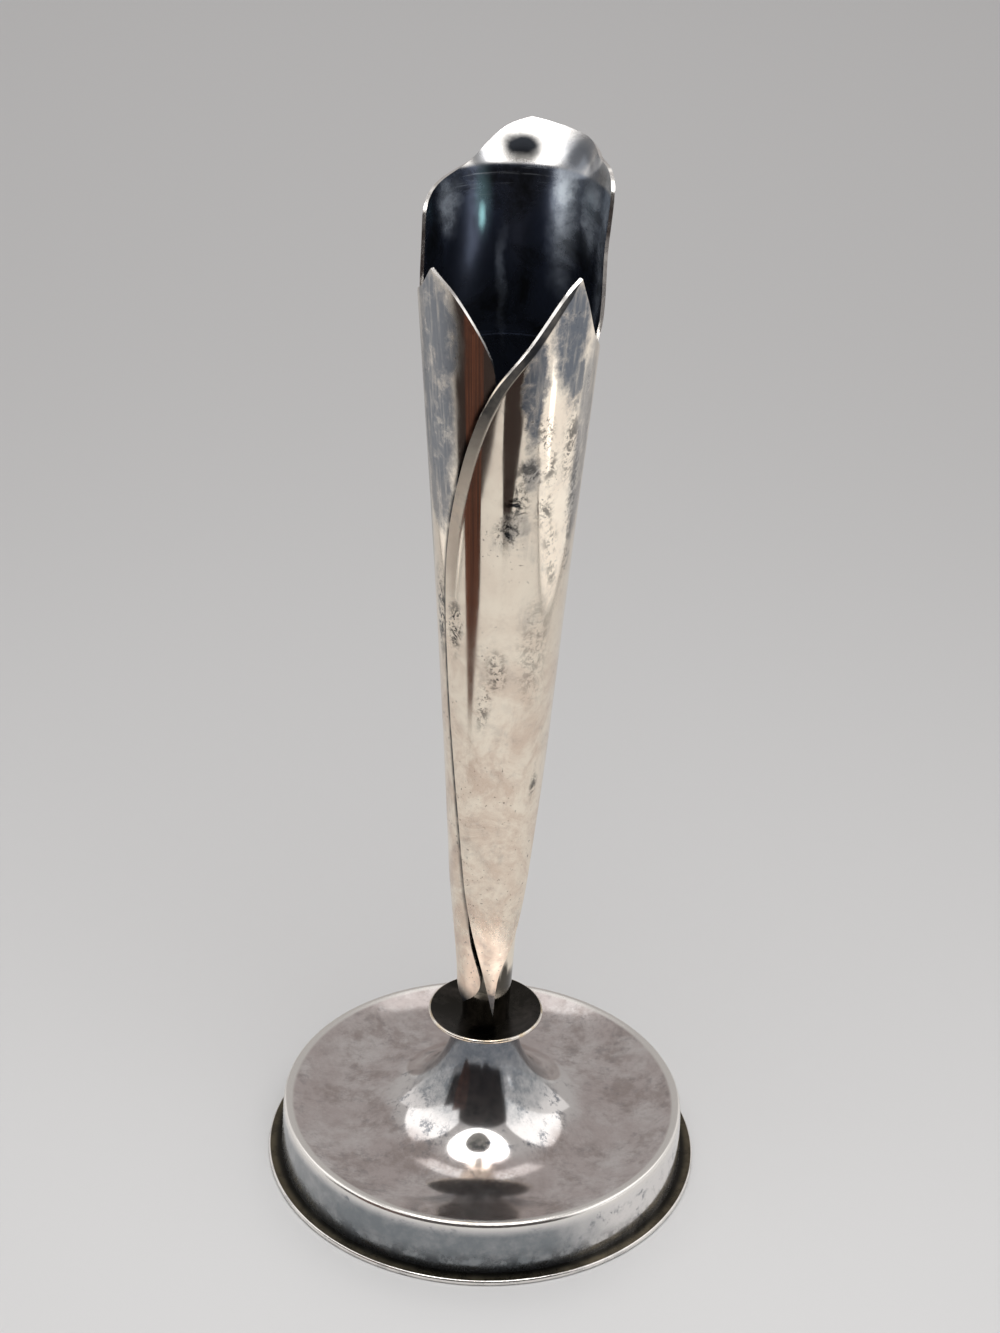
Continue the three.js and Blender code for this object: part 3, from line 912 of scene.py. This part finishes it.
class VASE_OT_collar(Operator):
    """Make the collar between the foot and the stem"""

    bl_idname = "vase.collar"
    bl_label = "Collar"

    def execute(self, context):
        vase = context.scene.bud_vase
        foot = vase.foot
        flat = foot.neck_radius + foot.collar_margin
        rim_r = foot.neck_radius + foot.collar_overhang
        floor = collar_floor(foot)
        half = foot.collar_sheet / 2
        bead = arc((rim_r - half, floor + foot.collar_rise - half), half, -80, 100, 10)
        profile = [(foot.stud_hole, foot.neck_height), (flat, foot.neck_height), *bead,
                   (flat, floor), (foot.stud_hole, floor)]
        dish = turned(profile, steps=160)
        second_finish(dish, lambda normal, middle: middle.to_2d().length > rim_r - half)
        finishes = (dark_plate(vase.finish), rim_plate(vase.finish))
        add_piece("collar_plated", dish, finishes, "collar")
        return {"FINISHED"}


class VASE_OT_tube(Operator):
    """Make the tapered water tube"""

    bl_idname = "vase.tube"
    bl_label = "Water tube"

    def execute(self, context):
        vase = context.scene.bud_vase
        stem = vase.stem
        base = collar_floor(vase.foot)
        rows = 160
        heights = [stem.tube_length * i / rows for i in range(rows + 1)]
        outside = [(tube_radius(stem, height), base + height) for height in heights]
        inside = [(radius - stem.tube_wall, z) for radius, z in reversed(outside)]
        tube = turned(outside + inside, steps=128)
        second_finish(tube, lambda normal, middle: normal.z > 0.5 or normal.dot(outward(middle)) < 0)
        paint_lap_shade(tube, vase, (FRONT_PETAL,))
        finishes = (tube_plate(vase), mouth_plate(vase))
        add_piece("water_tube_plated", tube, finishes, "water_tube")
        return {"FINISHED"}


class VASE_OT_petals(Operator):
    """Make the three lapped petals"""

    bl_idname = "vase.petals"
    bl_label = "Petals"

    def execute(self, context):
        vase = context.scene.bud_vase
        finishes = (petal_plate(vase), mouth_plate(vase), cut_edge(vase.finish))
        # Node, outline, sheets under it, shape, columns on its lip, and the petals that lap it
        petals = (
            ("back_petal", BACK_PETAL, over_none, folded_tip, 0, (FRONT_PETAL, LEFT_PETAL)),
            ("left_petal", LEFT_PETAL, over_one, flat_shape, 0, (FRONT_PETAL,)),
            ("front_petal", FRONT_PETAL, over_front, turned_lip, 8, ()),
        )
        for node, outline, laps, shape, lip_columns, on_top in petals:
            sheet = petal_sheet(vase, outline, laps, shape, lip_columns=lip_columns)
            paint_lap_shade(sheet, vase, on_top)
            piece = add_piece(node + "_plated", sheet, finishes, node, crease=60)
            wall = piece.modifiers.new("Sheet", "SOLIDIFY")
            wall.thickness = vase.stem.petal_sheet
            wall.offset = 1
            wall.material_offset = 1
            wall.material_offset_rim = 2
            soft = piece.modifiers.new("Soft edge", "BEVEL")
            soft.width = vase.stem.edge_round
            soft.segments = 2
            soft.limit_method = "ANGLE"
            soft.angle_limit = math.radians(50)
            soft.harden_normals = True
        return {"FINISHED"}


class VASE_OT_fixing(Operator):
    """Give the plug, stud, washer and nut their metals"""

    bl_idname = "vase.fixing"
    bl_label = "Fixing inside the foot"

    def execute(self, context):
        colours = context.scene.bud_vase.finish
        brass = bare_metal("fixing_brass", colours.brass, 0.22)
        steel = bare_metal("fixing_steel", colours.steel, 0.3)
        metals = {"tube_plug": brass, "clamp_washer": brass, "fixing_nut": brass, "fixing_stud": steel}
        for node, metal in metals.items():
            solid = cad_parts[node]
            solid.data.materials.clear()
            solid.data.materials.append(metal)
        return {"FINISHED"}


class VASE_OT_stage(Operator):
    """Set the floor, the light and the camera"""

    bl_idname = "vase.stage"
    bl_label = "Stage"

    def execute(self, context):
        look = context.scene.bud_vase.stage
        self.floor(look)
        self.cards(look)
        self.room(context.scene, look)
        self.lamps(look)
        self.camera(context.scene)
        context.scene.view_settings.view_transform = "Standard"
        return {"FINISHED"}

    def add_stage(self, name, bm, finish):
        mesh = bpy.data.meshes.new(name)
        bm.to_mesh(mesh)
        bm.free()
        mesh.materials.append(finish)
        panel = bpy.data.objects.new(name, mesh)
        bpy.context.scene.collection.objects.link(panel)
        return panel

    def panel(self, name, size, place, finish):
        bm = bmesh.new()
        bmesh.ops.create_grid(bm, x_segments=1, y_segments=4, size=0.5)
        bmesh.ops.scale(bm, vec=(*size, 1), verts=bm.verts)
        bmesh.ops.transform(bm, matrix=place, verts=bm.verts)
        return self.add_stage(name, bm, finish)

    def narrow(self, panel, low, high):
        """Bring in the foot of an upright panel, between two shares of its width."""
        on_floor = 0.1 * MM
        foot = [vert for vert in panel.data.vertices if vert.co.z < on_floor]
        left, right = (end.co.copy() for end in sorted(foot, key=lambda vert: vert.co.x))
        for vert in foot:
            vert.co = left.lerp(right, low if vert.co == left else high)

    def mirrored_only(self, thing):
        """Leave a stage piece to the metal's reflections, so that it darkens nothing else."""
        thing.visible_camera = False
        thing.visible_shadow = False
        thing.visible_diffuse = False

    def matt(self, name, colour):
        look = Finish(name)
        look.set(Metallic=0.0, Base_Color=colour, Roughness=0.8)
        return look.material

    def streaked(self, name, colour):
        look = Finish(name)
        streak = look.noise(260, 4, 0.6, place=look.stretched((1, 1, 0.06)))
        dark = tuple(0.2 * part for part in colour)
        look.set(Metallic=0.0, Base_Color=look.mix(look.ramp(streak, 0.42, 0.62), colour, dark),
                 Roughness=0.8)
        return look.material

    def floor(self, look):
        """The floor lies a hair under the ring, so that the two faces don't fight."""
        hair = 0.05 * MM
        self.panel("floor", (1.6, 1.6), Matrix.Translation((0, 0.5, -hair)),
                   self.matt("floor_paint", look.floor))

    def cards(self, look):
        """Cards, a cap under the lamp overhead, and black strips along the walls' feet that stand in for
        their shadow lines, for the metal to mirror.
        """
        black = self.matt("black_cloth", look.black_flag)
        brown = self.streaked("brown_card", look.brown_flag)
        upright = Matrix.Rotation(math.radians(90), 4, "X")
        # Name, width and height, middle, turn in degrees, cloth, and the shares of a narrowed foot
        flags = (
            ("far_flag", (1.5, 1.02), (0, -0.62, 0.51), 0, black, None),
            ("near_flag", (0.11, 0.09), (0.034, -0.2, 0.045), 0, black, (0.2, 0.45)),
            ("left_flag", (0.32, 0.1), (-0.155, -0.149, 0.05), -46, black, None),
            ("side_flag", (0.062, 0.12), (-0.102, -0.0955, 0.06), -47, brown, (0.1, 0.4)),
            ("edge_flag", (0.05, 0.09), (-0.156, -0.066, 0.075), -67, black, None),
        )
        for name, size, at, turned_by, cloth, foot in flags:
            turn_up = Matrix.Rotation(math.radians(turned_by), 4, "Z") @ upright
            flag = self.panel(name, size, Matrix.Translation(at) @ turn_up, cloth)
            if foot:
                self.narrow(flag, *foot)
            self.mirrored_only(flag)

        cap_radius, cap_stretch, cap_place = 0.075, 1.2, (-0.02, -0.138, 0.426)
        bm = bmesh.new()
        bmesh.ops.create_circle(bm, cap_ends=True, segments=48, radius=cap_radius)
        bmesh.ops.scale(bm, vec=(1, cap_stretch, 1), verts=bm.verts)
        bmesh.ops.translate(bm, vec=cap_place, verts=bm.verts)
        self.mirrored_only(self.add_stage("lamp_cap", bm, self.matt("grey_cap", look.cap)))

        # Black strips standing in for the shadow lines where the side walls meet the floor
        shadow_line_size, shadow_line_aside, shadow_line_height = (0.004, 0.4), 0.183, 0.2 * MM
        for side in (-1, 1):
            place = Matrix.Translation((side * shadow_line_aside, 0, shadow_line_height))
            self.mirrored_only(self.panel("wall_shadow_line", shadow_line_size, place, black))

    def room(self, scene, look):
        world = bpy.data.worlds.new("room")
        world.use_nodes = True
        world.node_tree.nodes["Background"].inputs["Color"].default_value = (*look.room, 1)
        scene.world = world

    def lamp(self, name, size, at, brightness, side=0, shape="RECTANGLE"):
        """A lamp that faces down, or the vase from its left (-1) or right (1) side."""
        light = bpy.data.lights.new(name, "AREA")
        light.shape = shape
        light.size, light.size_y = size
        light.energy = brightness * math.pi * size[0] * size[1]
        lamp = bpy.data.objects.new(name, light)
        lamp.matrix_world = Matrix.Translation(at) @ Matrix.Rotation(side * math.radians(90), 4, "Y")
        lamp.visible_camera = False
        bpy.context.scene.collection.objects.link(lamp)
        return lamp

    def lamps(self, look):
        """A lamp overhead, panels that the vase mirrors, and two lamps for the floor."""
        overhead, wall = 0.43, 0.186
        self.lamp("top_lamp", (0.32, 0.31), (-0.015, -0.105, overhead), look.top_light, shape="ELLIPSE")
        panels = []
        for side in (-1, 1):
            panels += (
                self.lamp("side_lamp", (0.125, 0.4), (side * wall, 0, 0.0625), look.side_light, side),
                self.lamp("high_lamp", (0.2, 0.3), (side * wall, -0.03, 0.225), look.high_light, side),
                self.lamp("back_lamp", (0.1, 0.1), (side * 0.075, 0.165, overhead), look.back_light),
            )
        panels.append(self.lamp("strip_lamp", (0.03, 0.03), (0.175, -0.085, 0.047), look.strip_light, 1))
        for panel in panels:
            panel.visible_diffuse = False
        front = self.lamp("front_lamp", (0.3, 0.3), (0.1, -0.22, 0.45), look.front_light)
        far = self.lamp("far_lamp", (0.8, 0.6), (0, 0.65, 0.7), look.far_light)
        for lamp in (front, far):
            lamp.visible_glossy = False

    def camera(self, scene):
        """The photograph's view, with the lens given in pixels of its frame."""
        lens_pixels, frame_pixels, sensor = 3000, 1333, 36
        back, high, aside = 0.449404, 0.359402, -0.01392
        yaw, pitch, roll = 0.03159, 0.51637, 0.03742
        level = math.cos(pitch)
        ahead = Vector((math.sin(yaw) * level, math.cos(yaw) * level, -math.sin(pitch)))
        right = Vector((math.cos(yaw), -math.sin(yaw), 0))
        above = right.cross(ahead)
        across = right * math.cos(roll) + above * math.sin(roll)
        upright = above * math.cos(roll) - right * math.sin(roll)
        place = Matrix((across, upright, -ahead)).transposed().to_4x4()
        place.translation = (aside, -back, high)
        lens = bpy.data.cameras.new("camera")
        lens.sensor_fit = "VERTICAL"
        lens.sensor_height = sensor
        lens.lens = sensor * lens_pixels / frame_pixels
        lens.clip_start = 0.01
        camera = bpy.data.objects.new("camera", lens)
        camera.matrix_world = place
        scene.collection.objects.link(camera)
        scene.camera = camera


class VASE_PT_sidebar(Panel):
    """Lists the steps that make the vase"""

    bl_label = "Bud vase"
    bl_space_type = "VIEW_3D"
    bl_region_type = "UI"
    bl_category = "Bud vase"

    def draw(self, context):
        for step in STEPS:
            self.layout.operator(step.bl_idname)


STEPS = (VASE_OT_foot, VASE_OT_collar, VASE_OT_tube, VASE_OT_petals, VASE_OT_fixing, VASE_OT_stage)
CLASSES = (FootSizes, StemSizes, SilverFinish, StageLook, BudVase, *STEPS, VASE_PT_sidebar)


def register():
    for cls in CLASSES:
        bpy.utils.register_class(cls)
    bpy.types.Scene.bud_vase = PointerProperty(type=BudVase)


def unregister():
    del bpy.types.Scene.bud_vase
    for cls in reversed(CLASSES):
        bpy.utils.unregister_class(cls)


def main():
    register()
    bpy.ops.vase.foot()
    bpy.ops.vase.collar()
    bpy.ops.vase.tube()
    bpy.ops.vase.petals()
    bpy.ops.vase.fixing()
    bpy.ops.vase.stage()


if __name__ == "__main__":
    main()
